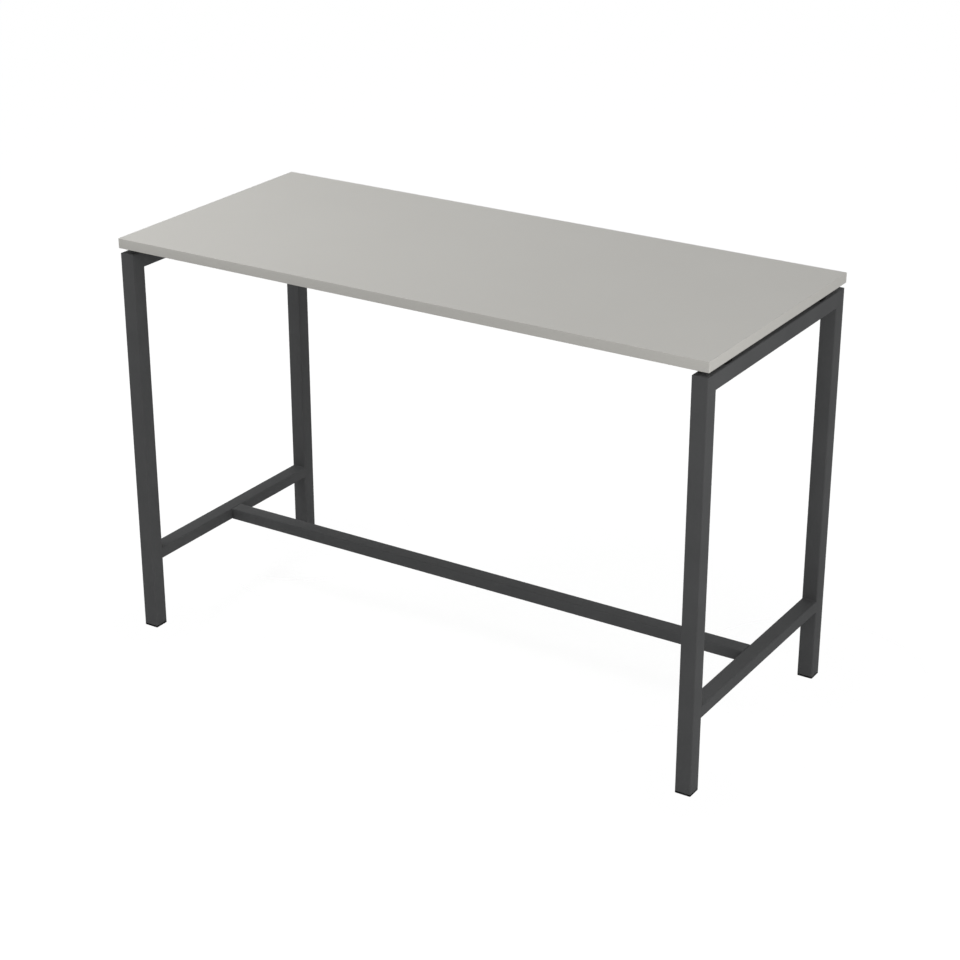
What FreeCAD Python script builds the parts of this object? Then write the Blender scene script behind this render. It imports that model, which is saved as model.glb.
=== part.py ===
import FreeCAD, Part
import os
import re
import Sketcher
from FreeCAD import Placement, Rotation, Vector

# Standing meeting table: a board that floats on two portal side frames of square tube. Three crossbars
# join the frames, a low stretcher and two beams under the board, and the table stands on four
# screw-adjusted feet.
# Millimetres. The origin is on the floor under the middle of the table. X runs along the table,
# the front is at -Y and Z is up.

# Each size that can be chosen by itself: name, value, meaning.
driving_sizes = [
    ("table_length", 1600, "overall length, along X"),
    ("table_depth", 700, "overall depth, along Y"),
    ("table_height", 1050, "floor to the top face"),
    ("board_thickness", 25, "faced chipboard"),
    ("band_thickness", 2, "edge band round the board"),
    ("band_arris", 1, "radius along the band's upper and lower arrises"),
    ("shadow_gap", 12, "height of the spacers between frame and board"),
    ("frame_inset", 2, "board edge to the frame's outer faces"),
    ("leg_width", 40, "square tube of the legs and top rails"),
    ("leg_wall", 2, "its wall"),
    ("tube_corner", 3, "outer corner radius of every tube"),
    ("foot_rail_height", 30, "foot rail, as wide as a leg"),
    ("foot_rail_wall", 2, "its wall"),
    ("foot_rail_top", 215, "floor to the top of the foot rails and the stretcher"),
    ("crossbar_width", 40, "stretcher and beams, which join the side frames"),
    ("crossbar_height", 30, "their height"),
    ("crossbar_wall", 2, "their wall"),
    ("crossbar_gap", 0.3, "crossbar end to side frame"),
    ("beam_spacing", 320, "between the beams' centre lines"),
    ("stub_length", 60, "welded stub that a crossbar slides over"),
    ("stub_wall", 3, "its wall"),
    ("stub_clearance", 0.4, "stub to the crossbar, at each side and below"),
    ("lock_screw_inset", 30, "side frame to the set screw that locks a crossbar"),
    ("lock_screw_hole", 6.2, "threaded hole for that screw"),
    ("screw_hole", 7, "clearance hole for a board screw"),
    ("access_hole", 16, "hole under each board screw for the driver"),
    ("rail_screw_pitch", 480, "between the board screws of a top rail"),
    ("beam_screw_pitch", 800, "between the board screws of a beam"),
    ("spacer_width", 30, "square spacer under the board"),
    ("level_travel", 15, "how far a foot can be screwed out"),
    ("pad_thickness", 3, "square foot pad"),
    ("guide_width", 20, "square guide on the pad, which slides in the plug"),
    ("guide_engagement", 4, "guide left in the plug with the foot screwed out"),
    ("guide_gap", 0.3, "guide to plug, at each side and above"),
    ("guide_bore", 10, "square bore of the guide"),
    ("snap_slot", 1.6, "cross slots that let the guide spring open"),
    ("snap_slot_depth", 12, "their depth"),
    ("snap_lip", 1.7, "height of the lip over the stem's collar"),
    ("snap_grip", 0.6, "how far the lip reaches over the collar"),
    ("snap_lead", 0.8, "lead-in chamfer of the lip"),
    ("key_hole", 8, "hole through the pad for the key"),
    ("stem_diameter", 10, "M10 levelling stem"),
    ("stem_collar", 14, "collar that the guide holds"),
    ("stem_collar_height", 2, "its height"),
    ("stem_overrun", 0.7, "stem above the bush with the foot screwed out"),
    ("stem_socket", 6, "hex socket in its lower end, across flats"),
    ("stem_socket_depth", 8, "its depth"),
    ("stem_gap", 0.4, "gap round the stem and its collar, apart from the bush"),
    ("swivel_gap", 0.3, "end gap over the collar"),
    ("thread_gap", 0.05, "radial gap between the stem and its bush"),
    ("plug_flange", 2, "plug's flange under the tube"),
    ("plug_core", 30, "square core of the plug"),
    ("plug_top", 4.7, "plug over the bush, which carries the load"),
    ("plug_lead", 2, "chamfer of the plug's upper end"),
    ("fin_thickness", 1.2, "fins that grip the tube"),
    ("fin_start", 4, "tube end to the first fin"),
    ("fin_pitch", 7, "from one fin to the next"),
    ("bush_width", 17, "hexagonal bush, across flats"),
    ("bush_height", 10, "its height"),
]
fins_per_plug = 4
screws_in_a_row = 2

doc = FreeCAD.newDocument("StandingMeetingTable")
sizes = doc.addObject("Spreadsheet::Sheet", "sizes")
for row, (alias, value, meaning) in enumerate(driving_sizes, 1):
    sizes.set(f"A{row}", alias)
    sizes.set(f"B{row}", str(value))
    sizes.set(f"C{row}", meaning)
    sizes.setAlias(f"B{row}", alias)
doc.recompute()
aliases = {alias for alias, value, meaning in driving_sizes}

# Sizes that follow from the driving ones, as formulas over their names. Heights inside a foot count
# from the top of the pad's base, and those inside a plug from the end of the leg's tube.
foot_height = "(pad_thickness + plug_flange)"
frame_top = "(table_height - board_thickness - shadow_gap)"
frame_x = "(table_length / 2 - frame_inset - leg_width / 2)"
frame_y = "(table_depth / 2 - frame_inset - leg_width / 2)"
leg_inside = "(leg_width - 2 * leg_wall)"
leg_length = f"({frame_top} - {foot_height})"
rail_length = "(table_depth - 2 * frame_inset)"
foot_rail_length = "(table_depth - 2 * frame_inset - 2 * leg_width)"
bay_length = "(table_length - 2 * frame_inset - 2 * leg_width)"
crossbar_length = f"({bay_length} - 2 * crossbar_gap)"
stub_width = "(crossbar_width - 2 * crossbar_wall - 2 * stub_clearance)"
stub_height = "(crossbar_height - 2 * crossbar_wall - stub_clearance)"
guide_height = "(level_travel + guide_engagement)"
collar_space = "(stem_collar_height + swivel_gap)"
collar_seat = f"({guide_height} - snap_lip - {collar_space})"
bush_bottom = f"({guide_height} + guide_gap - plug_flange)"
bush_top = f"({bush_bottom} + bush_height)"
plug_length = f"({bush_top} + plug_top)"
stem_length = f"({bush_top} + plug_flange + level_travel + stem_overrun - {collar_seat})"


def formula(text):
    """The text with every size's name pointed at its cell in the sheet."""
    return re.sub(r"[a-z_]\w*", lambda word: "sizes." + word[0] if word[0] in aliases else word[0], text)


def amount(text):
    """The value of a formula, in millimetres."""
    return float(sizes.evalExpression(formula(text)))


def bind(thing, name, text):
    thing.setExpression(name, formula(text))


def along(direction):
    """The turn that lays a tube drawn upwards along X or Y, with its height still upwards."""
    return Rotation(Vector(1, 1, 1), 120) if direction == "X" else Rotation(Vector(1, 0, 0), 90)


half_turn = Rotation(Vector(0, 0, 1), 180)


# ---- helpers for bodies, sketches and features

sub_parts = []


def new_body(label, x="0", y="0", z="0", turn=Rotation()):
    body = doc.addObject("PartDesign::Body", label)
    body.Label = label
    body.Placement = Placement(Vector(), turn)
    bind(body, "Placement.Base.x", x)
    bind(body, "Placement.Base.y", y)
    bind(body, "Placement.Base.z", z)
    sub_parts.append(body)
    return body


def origin_feature(body, role):
    return next(feature for feature in body.Origin.OriginFeatures if feature.Role == role)


def new_sketch(body, plane="XY_Plane", out="0"):
    """A sketch on one of the body's own planes, moved out along the plane's normal."""
    sketch = body.newObject("Sketcher::SketchObject", body.Label + "_sketch")
    sketch.AttachmentSupport = [(origin_feature(body, plane), "")]
    sketch.MapMode = "FlatFace"
    bind(sketch, "AttachmentOffset.Base.z", out)
    return sketch


def hold(sketch, kind, where, text):
    """Adds a constraint whose value is a formula."""
    number = sketch.addConstraint(Sketcher.Constraint(kind, *where, amount(text)))
    sketch.renameConstraint(number, f"size{number}")
    bind(sketch, f"Constraints.size{number}", text)


def draw_polygon(sketch, corners):
    points = [Vector(amount(x), amount(y), 0) for x, y in corners]
    lines = [sketch.addGeometry(Part.LineSegment(points[n - 1], points[n])) for n in range(len(points))]
    for n, line in enumerate(lines):
        sketch.addConstraint(Sketcher.Constraint("Coincident", lines[n - 1], 2, line, 1))
        hold(sketch, "DistanceX", (line, 2), corners[n][0])
        hold(sketch, "DistanceY", (line, 2), corners[n][1])


def draw_rectangle(sketch, width, height, x="0", y="0"):
    left, right = f"{x} - ({width}) / 2", f"{x} + ({width}) / 2"
    bottom, top = f"{y} - ({height}) / 2", f"{y} + ({height}) / 2"
    draw_polygon(sketch, [(left, bottom), (right, bottom), (right, top), (left, top)])


def draw_hexagon(sketch, across_flats, x="0", y="0"):
    corner = f"({across_flats}) / sqrt(3)"
    half_side, flat = f"{corner} / 2", f"({across_flats}) / 2"
    draw_polygon(
        sketch,
        [
            (f"{x} + {corner}", y),
            (f"{x} + {half_side}", f"{y} + {flat}"),
            (f"{x} - {half_side}", f"{y} + {flat}"),
            (f"{x} - {corner}", y),
            (f"{x} - {half_side}", f"{y} - {flat}"),
            (f"{x} + {half_side}", f"{y} - {flat}"),
        ],
    )


def draw_circle(sketch, diameter, x="0", y="0"):
    centre = Vector(amount(x), amount(y), 0)
    circle = sketch.addGeometry(Part.Circle(centre, Vector(0, 0, 1), amount(diameter) / 2))
    hold(sketch, "Diameter", (circle,), diameter)
    hold(sketch, "DistanceX", (circle, 3), x)
    hold(sketch, "DistanceY", (circle, 3), y)


def add_pad(body, sketch, length):
    pad = body.newObject("PartDesign::Pad", body.Label + "_pad")
    pad.Profile = sketch
    bind(pad, "Length", length)
    doc.recompute()
    return pad


def add_pocket(body, sketch, depth="", reverse=False):
    """Cuts against the sketch's normal, or along it if reversed, and right through with no depth."""
    before = body.Tip.Shape.Volume
    pocket = body.newObject("PartDesign::Pocket", body.Label + "_pocket")
    pocket.Profile = sketch
    pocket.Reversed = reverse
    if depth:
        bind(pocket, "Length", depth)
    else:
        pocket.Type = "ThroughAll"
    doc.recompute()
    if not pocket.Shape.Volume < before:
        raise RuntimeError(f"{pocket.Name} cuts nothing")


def add_edge_feature(body, kind, size, chosen):
    """A Fillet or Chamfer on the edges of the body's tip that the test chooses."""
    base = body.Tip
    names = [f"Edge{n}" for n, edge in enumerate(base.Shape.Edges, 1) if chosen(edge)]
    feature = body.newObject("PartDesign::" + kind, f"{body.Label}_{kind.lower()}")
    feature.Base = (base, names)
    bind(feature, "Radius" if kind == "Fillet" else "Size", size)
    doc.recompute()


def add_row(body, feature, axis, distance, count):
    """Repeats a feature along an axis, with the distance from first to last."""
    row = body.newObject("PartDesign::LinearPattern", body.Label + "_row")
    row.Originals = [feature]
    row.Direction = (origin_feature(body, axis), [""])
    row.Occurrences = count
    bind(row, "Length", distance)
    body.Tip = row
    doc.recompute()


def is_close(first, second):
    return abs(first - second) < 1e-4


def runs_along(edge, axis):
    """Whether a straight edge is parallel to an axis, given as a Vector."""
    ends = edge.Vertexes
    if len(ends) != 2 or edge.Curve.TypeId != "Part::GeomLine":
        return False
    return (ends[1].Point - ends[0].Point).cross(axis).Length < 1e-6


up = Vector(0, 0, 1)


def rounded_tube(body, width, height, wall, length):
    """A length of hollow section drawn upwards from its middle, with rounded outer corners."""
    outline = new_sketch(body, out=f"-({length}) / 2")
    draw_rectangle(outline, width, height)
    add_pad(body, outline, length)
    add_edge_feature(body, "Fillet", "tube_corner", lambda e: runs_along(e, up))
    hollow = new_sketch(body, out=f"({length}) / 2")
    draw_rectangle(hollow, f"{width} - 2 * {wall}", f"{height} - 2 * {wall}")
    add_pocket(body, hollow)


# ---- board: faced chipboard with an edge band on each side


def make_board():
    body = new_body("tabletop_board", z="table_height - board_thickness")
    outline = new_sketch(body)
    draw_rectangle(outline, "table_length - 2 * band_thickness", "table_depth - 2 * band_thickness")
    add_pad(body, outline, "board_thickness")


def make_band(label, x, y, length, turn):
    """An edge band along X, with its outer side at -Y before it is turned."""
    body = new_body(label, x=x, y=y, z="table_height - board_thickness", turn=turn)
    outline = new_sketch(body)
    draw_rectangle(outline, length, "band_thickness")
    add_pad(body, outline, "board_thickness")
    outer_side = -amount("band_thickness") / 2
    add_edge_feature(
        body,
        "Fillet",
        "band_arris",
        lambda e: runs_along(e, Vector(1, 0, 0)) and is_close(e.BoundBox.YMin, outer_side),
    )


# ---- side frames: two legs and a top rail mitred into a portal, with a foot rail between the legs


def make_leg(label, side_x, side_y):
    """A leg is drawn with its outer face at -Y, where the mitre leaves it longest."""
    turn = Rotation() if side_y < 0 else half_turn
    z = f"{foot_height} + {leg_length} / 2"
    body = new_body(label, x=f"{side_x} * {frame_x}", y=f"{side_y} * {frame_y}", z=z, turn=turn)
    rounded_tube(body, "leg_width", "leg_width", "leg_wall", leg_length)
    mitre = new_sketch(body, "YZ_Plane", out="leg_width")
    top = f"{leg_length} / 2"
    outer_top, inner_top = ("-leg_width / 2", top), ("leg_width / 2", top)
    draw_polygon(mitre, [outer_top, ("leg_width / 2", f"{top} - leg_width"), inner_top])
    add_pocket(body, mitre)


def row_of_screws(pitch):
    """Places of one row of board screws, evenly spaced about the middle."""
    return [f"{n - (screws_in_a_row - 1) / 2} * {pitch}" for n in range(screws_in_a_row)]


def drill_for_board(body, height, wall, pitch):
    """A row of screw holes in a tube's upper wall, each over a wider hole that lets the driver in."""
    screw_holes = new_sketch(body, "XZ_Plane", out=f"-{height} / 2")
    access_holes = new_sketch(body, "XZ_Plane", out=f"{height} / 2")
    for place in row_of_screws(pitch):
        draw_circle(screw_holes, "screw_hole", "0", place)
        draw_circle(access_holes, "access_hole", "0", place)
    add_pocket(body, screw_holes, f"2 * {wall}", reverse=True)
    add_pocket(body, access_holes, f"2 * {wall}")


def make_top_rail(label, side):
    z = f"{frame_top} - leg_width / 2"
    body = new_body(label, x=f"{side} * {frame_x}", z=z, turn=along("Y"))
    rounded_tube(body, "leg_width", "leg_width", "leg_wall", rail_length)
    mitres = new_sketch(body, "YZ_Plane", out="leg_width")
    end = f"{rail_length} / 2"
    bottom, top = "-leg_width / 2", "leg_width / 2"
    draw_polygon(mitres, [(top, end), (bottom, f"{end} - leg_width"), (bottom, end)])
    draw_polygon(mitres, [(top, f"-{end}"), (bottom, f"-{end}"), (bottom, f"leg_width - {end}")])
    add_pocket(body, mitres)
    drill_for_board(body, "leg_width", "leg_wall", "rail_screw_pitch")


def make_foot_rail(label, side):
    z = "foot_rail_top - foot_rail_height / 2"
    body = new_body(label, x=f"{side} * {frame_x}", z=z, turn=along("Y"))
    rounded_tube(body, "leg_width", "foot_rail_height", "foot_rail_wall", foot_rail_length)


# ---- crossbars: each slides over a stub welded to either side frame and hangs on it, and a set screw
# from below locks it


def make_crossbar(label, y, top):
    """A crossbar level with the top of the side frames is a beam, which also carries the board."""
    body = new_body(label, y=y, z=f"{top} - crossbar_height / 2", turn=along("X"))
    rounded_tube(body, "crossbar_width", "crossbar_height", "crossbar_wall", crossbar_length)
    lock_holes = new_sketch(body, "XZ_Plane", out="crossbar_height / 2")
    draw_circle(lock_holes, "lock_screw_hole", "0", f"{bay_length} / 2 - lock_screw_inset")
    draw_circle(lock_holes, "lock_screw_hole", "0", f"lock_screw_inset - {bay_length} / 2")
    add_pocket(body, lock_holes, "2 * crossbar_wall")
    if top == frame_top:
        drill_for_board(body, "crossbar_height", "crossbar_wall", "beam_screw_pitch")


def make_stub(label, side, y, top):
    x = f"{side} * ({bay_length} - stub_length) / 2"
    z = f"{top} - crossbar_wall - {stub_height} / 2"
    body = new_body(label, x=x, y=y, z=z, turn=along("X"))
    section = new_sketch(body, out="-stub_length / 2")
    draw_rectangle(section, stub_width, stub_height)
    draw_rectangle(section, f"{stub_width} - 2 * stub_wall", f"{stub_height} - 2 * stub_wall")
    add_pad(body, section, "stub_length")


# ---- spacers, one at each board screw, all in one sub-part


def board_screw_places():
    """A row of screws over each top rail and each beam."""
    rail_row, beam_row = row_of_screws("rail_screw_pitch"), row_of_screws("beam_screw_pitch")
    over_rails = [(f"{side} * {frame_x}", place) for side in (-1, 1) for place in rail_row]
    over_beams = [(place, f"{side} * beam_spacing / 2") for side in (-1, 1) for place in beam_row]
    return over_rails + over_beams


def make_spacers():
    body = new_body("board_spacers", z=frame_top)
    outlines = new_sketch(body)
    for x, y in board_screw_places():
        draw_rectangle(outlines, "spacer_width", "spacer_width", x, y)
    add_pad(body, outlines, "shadow_gap")


# ---- levelling feet: a finned plug in the leg holds a hexagonal bush, and the stem that screws through
# the bush turns in a square pad. The pad's guide slides in the plug, which keeps it in line with the leg


def leg_place(side_x, side_y):
    return f"{side_x} * {frame_x}", f"{side_y} * {frame_y}"


def make_plug(label, side_x, side_y):
    x, y = leg_place(side_x, side_y)
    body = new_body(label, x=x, y=y, z=foot_height)
    flange = new_sketch(body, out="-plug_flange")
    draw_rectangle(flange, "leg_width", "leg_width")
    add_pad(body, flange, "plug_flange")
    add_edge_feature(body, "Fillet", "tube_corner", lambda e: runs_along(e, up))
    core = new_sketch(body)
    draw_rectangle(core, "plug_core", "plug_core")
    add_pad(body, core, plug_length)
    upper_end = amount(plug_length)
    add_edge_feature(body, "Chamfer", "plug_lead", lambda e: is_close(e.BoundBox.ZMin, upper_end))
    fin = new_sketch(body, out="fin_start")
    draw_rectangle(fin, leg_inside, leg_inside)
    first_fin = add_pad(body, fin, "fin_thickness")
    add_row(body, first_fin, "Z_Axis", f"{fins_per_plug - 1} * fin_pitch", fins_per_plug)
    guide_pocket = new_sketch(body, out="-plug_flange")
    draw_rectangle(guide_pocket, "guide_width + 2 * guide_gap", "guide_width + 2 * guide_gap")
    add_pocket(body, guide_pocket, f"{guide_height} + guide_gap", reverse=True)
    bush_pocket = new_sketch(body, out=bush_bottom)
    draw_hexagon(bush_pocket, "bush_width")
    add_pocket(body, bush_pocket, "bush_height", reverse=True)
    stem_hole = new_sketch(body, out=plug_length)
    stem_space = "stem_diameter + 2 * stem_gap"
    draw_rectangle(stem_hole, stem_space, stem_space)
    add_pocket(body, stem_hole)


def make_bushes():
    """One threaded bush in each plug, all in one sub-part."""
    body = new_body("foot_bushes", z=f"{foot_height} + {bush_bottom}")
    outlines = new_sketch(body)
    for side_x in (-1, 1):
        for side_y in (-1, 1):
            x, y = leg_place(side_x, side_y)
            draw_hexagon(outlines, "bush_width", x, y)
            draw_circle(outlines, "stem_diameter + 2 * thread_gap", x, y)
    add_pad(body, outlines, "bush_height")


def make_stem(label, side_x, side_y):
    """A threaded stem on a collar, with the key's socket in its lower end."""
    x, y = leg_place(side_x, side_y)
    body = new_body(label, x=x, y=y, z=f"pad_thickness + {collar_seat}")
    collar = new_sketch(body)
    draw_circle(collar, "stem_collar")
    add_pad(body, collar, "stem_collar_height")
    shank = new_sketch(body)
    draw_circle(shank, "stem_diameter")
    add_pad(body, shank, stem_length)
    socket = new_sketch(body)
    draw_hexagon(socket, "stem_socket")
    add_pocket(body, socket, "stem_socket_depth", reverse=True)


def make_pad(label, side_x, side_y):
    """A square base with a guide on it, which is slotted into four fingers. Their lip snaps over the
    stem's collar, and they can't spring open while the guide is in the plug."""
    x, y = leg_place(side_x, side_y)
    body = new_body(label, x=x, y=y)
    base = new_sketch(body)
    draw_rectangle(base, "leg_width", "leg_width")
    add_pad(body, base, "pad_thickness")
    add_edge_feature(body, "Fillet", "tube_corner", lambda e: runs_along(e, up))
    guide_top = f"(pad_thickness + {guide_height})"
    guide = new_sketch(body, out="pad_thickness")
    draw_rectangle(guide, "guide_width", "guide_width")
    add_pad(body, guide, guide_height)
    mouth = new_sketch(body, out=guide_top)
    mouth_width = "(stem_collar - 2 * snap_grip)"
    draw_rectangle(mouth, mouth_width, mouth_width)
    add_pocket(body, mouth, "snap_lip")
    top, side = amount(guide_top), amount(mouth_width)
    add_edge_feature(
        body, "Chamfer", "snap_lead", lambda e: is_close(e.BoundBox.ZMin, top) and is_close(e.Length, side)
    )
    collar_pocket = new_sketch(body, out=f"{guide_top} - snap_lip")
    draw_rectangle(collar_pocket, "stem_collar + 2 * stem_gap", "stem_collar + 2 * stem_gap")
    add_pocket(body, collar_pocket, collar_space)
    bore = new_sketch(body, out=f"pad_thickness + {collar_seat}")
    draw_rectangle(bore, "guide_bore", "guide_bore")
    add_pocket(body, bore, collar_seat)
    for width, height in (("snap_slot", "guide_width"), ("guide_width", "snap_slot")):
        slot = new_sketch(body, out=guide_top)
        draw_rectangle(slot, width, height)
        add_pocket(body, slot, "snap_slot_depth")
    key_hole = new_sketch(body, out="pad_thickness")
    draw_circle(key_hole, "key_hole")
    add_pocket(body, key_hole)


# ---- the whole table

lengthwise = {"left": -1, "right": 1}
depthwise = {"front": -1, "back": 1}
quarter_turn = Rotation(Vector(0, 0, 1), 90)
# The place of each crossbar: its middle line's y and the height of its upper face.
crossbars = {
    "stretcher": ("0", "foot_rail_top"),
    "beam_front": ("-beam_spacing / 2", frame_top),
    "beam_back": ("beam_spacing / 2", frame_top),
}

make_board()
band_y = "(table_depth - band_thickness) / 2"
band_x = "(table_length - band_thickness) / 2"
short_band = "table_depth - 2 * band_thickness"
make_band("edge_band_front", "0", f"-{band_y}", "table_length", Rotation())
make_band("edge_band_back", "0", band_y, "table_length", half_turn)
make_band("edge_band_left", f"-{band_x}", "0", short_band, quarter_turn.inverted())
make_band("edge_band_right", band_x, "0", short_band, quarter_turn)

for crossbar, (y, top) in crossbars.items():
    make_crossbar(crossbar, y, top)
for length_name, side_x in lengthwise.items():
    make_top_rail(f"top_rail_{length_name}", side_x)
    make_foot_rail(f"foot_rail_{length_name}", side_x)
    for crossbar, (y, top) in crossbars.items():
        make_stub(f"{crossbar}_stub_{length_name}", side_x, y, top)
    for depth_name, side_y in depthwise.items():
        corner = f"{depth_name}_{length_name}"
        make_leg(f"leg_{corner}", side_x, side_y)
        make_plug(f"leg_plug_{corner}", side_x, side_y)
        make_stem(f"foot_stem_{corner}", side_x, side_y)
        make_pad(f"foot_pad_{corner}", side_x, side_y)
make_bushes()
make_spacers()

# ---- checks, then one STEP file for each sub-part

doc.recompute()
for thing in doc.Objects:
    if "Invalid" in thing.State or "Error" in thing.State:
        raise RuntimeError(f"{thing.Label} failed: {thing.State}")
for body in sub_parts:
    if body.Shape.isNull() or not body.Shape.isValid() or not body.Shape.Solids:
        raise RuntimeError(f"{body.Label} has no valid solid")

os.makedirs("parts", exist_ok=True)
for body in sub_parts:
    body.Shape.exportStep(f"parts/{body.Label}.step")
    solids = len(body.Shape.Solids)
    print(f"{body.Label}: {solids} solid{'s' if solids > 1 else ''}, {body.Shape.Volume:.0f} mm3")
print(len(sub_parts), "sub-parts")
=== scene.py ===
import math

import bmesh
import bpy
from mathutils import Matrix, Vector


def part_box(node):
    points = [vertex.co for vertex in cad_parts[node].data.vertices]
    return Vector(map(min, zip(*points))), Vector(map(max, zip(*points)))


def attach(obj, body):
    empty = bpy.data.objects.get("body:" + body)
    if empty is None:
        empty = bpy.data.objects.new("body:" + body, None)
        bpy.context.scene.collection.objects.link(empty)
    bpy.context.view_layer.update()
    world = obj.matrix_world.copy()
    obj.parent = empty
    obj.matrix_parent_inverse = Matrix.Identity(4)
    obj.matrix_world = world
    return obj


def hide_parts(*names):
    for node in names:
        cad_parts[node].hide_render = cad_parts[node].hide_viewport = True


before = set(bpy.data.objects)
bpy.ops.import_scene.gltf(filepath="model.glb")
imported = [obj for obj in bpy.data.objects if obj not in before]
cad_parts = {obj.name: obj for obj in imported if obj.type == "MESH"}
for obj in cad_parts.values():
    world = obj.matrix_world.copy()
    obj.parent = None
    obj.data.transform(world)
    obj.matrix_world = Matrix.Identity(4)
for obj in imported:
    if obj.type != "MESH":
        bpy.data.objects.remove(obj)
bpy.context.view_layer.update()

# Standing meeting table: a faced board on two welded portals of square tube, three crossbars between
# them and four levelling feet. Metres, with the floor at 0, X along the table and the front at -Y.

mm = 0.001
hair = 0.001 * mm  # points closer than this count as level with each other
past = 1 * mm  # how far a cutting tool reaches beyond what it cuts
straight = 0.99  # cosine from which a direction counts as along an axis
smoothBelow = 32  # degrees between two faces up to which they are shaded as one curve
sideNames = {"left": -1, "right": 1}
rowNames = {"front": -1, "back": 1}


# ways of working, used for every piece

def deselectAll():
    bpy.ops.object.select_all(action="DESELECT")


def selectOnly(shape):
    deselectAll()
    shape.select_set(True)
    bpy.context.view_layer.objects.active = shape


def settle(name):
    # the new shape gets its name, and its place and size go into its mesh
    shape = bpy.context.object
    shape.name = shape.data.name = name
    bpy.ops.object.transform_apply(location=True, rotation=True, scale=True)
    return shape


def startBlock(name, low, high):
    deselectAll()
    middle = [(a + b) / 2 for a, b in zip(low, high)]
    bpy.ops.mesh.primitive_cube_add(size=1, location=middle, scale=[b - a for a, b in zip(low, high)])
    return settle(name)


def startRod(name, place, diameter, bottom, top, sides):
    deselectAll()
    bpy.ops.mesh.primitive_cylinder_add(vertices=sides, radius=diameter / 2, depth=top - bottom,
                                        location=(place[0], place[1], (bottom + top) / 2))
    return settle(name)


def openMesh(shape):
    selectOnly(shape)
    bpy.ops.object.mode_set(mode="EDIT")
    bpy.ops.mesh.select_all(action="DESELECT")


def closeMesh():
    bpy.ops.object.mode_set(mode="OBJECT")


def pickFaces(shape, wanted):
    # wanted is asked about each face's middle and normal
    bpy.ops.mesh.select_mode(type="FACE")
    bpy.ops.mesh.select_all(action="DESELECT")
    mesh = bmesh.from_edit_mesh(shape.data)
    for face in mesh.faces:
        face.select_set(bool(wanted(face.calc_center_median(), face.normal)))
    bmesh.update_edit_mesh(shape.data)


def pickEdges(shape, wanted):
    # wanted is asked about each edge's two ends
    bpy.ops.mesh.select_mode(type="EDGE")
    bpy.ops.mesh.select_all(action="DESELECT")
    mesh = bmesh.from_edit_mesh(shape.data)
    for edge in mesh.edges:
        edge.select_set(bool(wanted(edge.verts[0].co, edge.verts[1].co)))
    bmesh.update_edit_mesh(shape.data)


def isLevel(a, b):
    return abs(a.z - b.z) < hair


def isUpright(a, b):
    # on a block, every edge that isn't level
    return not isLevel(a, b)


def bothEnds(test):
    # asks about an edge by asking about each of its ends
    return lambda a, b: test(a) and test(b)


def roundEdges(shape, wanted, size, steps, profile=0.5):
    pickEdges(shape, wanted)
    bpy.ops.mesh.bevel(offset=size, segments=steps, profile=profile, affect="EDGES")


def hollowOut(shape, axis, wall):
    # opens a straight piece from end to end, with an even wall all round
    pickFaces(shape, lambda middle, normal: abs(normal[axis]) > straight)
    bpy.ops.mesh.inset(thickness=wall)
    bpy.ops.mesh.bridge_edge_loops()


def applyModifier(shape, modifier):
    selectOnly(shape)
    bpy.ops.object.modifier_apply(modifier=modifier.name)


def cutAway(shape, tool, operation="DIFFERENCE"):
    # takes the tool's shape out of a piece, or adds it with UNION, and removes the tool
    cut = shape.modifiers.new("cut", "BOOLEAN")
    cut.operation = operation
    cut.solver = "EXACT"
    cut.object = tool
    applyModifier(shape, cut)
    bpy.data.objects.remove(tool)


def cutSocket(shape, place, screw, bottom):
    # a hexagon socket that opens downwards
    acrossCorners = screw["socket"] / math.cos(math.radians(30))
    top = bottom + screw["socketDeep"]
    cutAway(shape, startRod("key", place, acrossCorners, bottom - past, top, sides=6))


def copyPiece(shape, name, shift=(0, 0, 0), turn=0):
    # a copy with its own mesh, moved and turned about the middle of the table
    twin = shape.copy()
    twin.data = shape.data.copy()
    twin.name = twin.data.name = name
    bpy.context.scene.collection.objects.link(twin)
    twin.rotation_euler.z = math.radians(turn)
    twin.location = shift
    selectOnly(twin)
    bpy.ops.object.transform_apply(location=True, rotation=True, scale=True)
    return twin


def repeatPiece(first, number, here, there):
    # a copy of a piece whose name ends in 1, carried from one place to another
    shift = [after - before for before, after in zip(here, there)]
    return copyPiece(first, first.name.removesuffix("1") + str(number), shift)


def handOver(shape, body, finish, slotName, *nodes):
    # shading, finish, the body that carries the piece, and the nodes that it stands for, which are
    # hidden;
    # copies are made before this
    selectOnly(shape)
    bpy.ops.object.shade_smooth_by_angle(angle=math.radians(smoothBelow))
    shape.data.materials.clear()
    shape.data.materials.append(finish)
    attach(shape, body)
    if nodes:
        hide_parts(*nodes)


# finishes

noiseReach = (0.3, 0.7)  # where nearly all values of a noise lie


def startFinish(name):
    finish = bpy.data.materials.new(name)
    finish.use_nodes = True
    tree = finish.node_tree
    tree.nodes.clear()
    output = tree.nodes.new("ShaderNodeOutputMaterial")
    shader = tree.nodes.new("ShaderNodeBsdfPrincipled")
    tree.links.new(shader.outputs["BSDF"], output.inputs["Surface"])
    place = tree.nodes.new("ShaderNodeTexCoord")
    return finish, tree, shader, place.outputs["Object"]


def addNoise(tree, place, scale, detail=2, stretch=(1, 1, 1)):
    # an even noise with features of about 1/scale metres, stretched along an axis where wanted
    mapping = tree.nodes.new("ShaderNodeMapping")
    mapping.inputs["Scale"].default_value = stretch
    noise = tree.nodes.new("ShaderNodeTexNoise")
    noise.inputs["Scale"].default_value = scale
    noise.inputs["Detail"].default_value = detail
    tree.links.new(place, mapping.inputs["Vector"])
    tree.links.new(mapping.outputs["Vector"], noise.inputs["Vector"])
    return noise.outputs[0]


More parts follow.
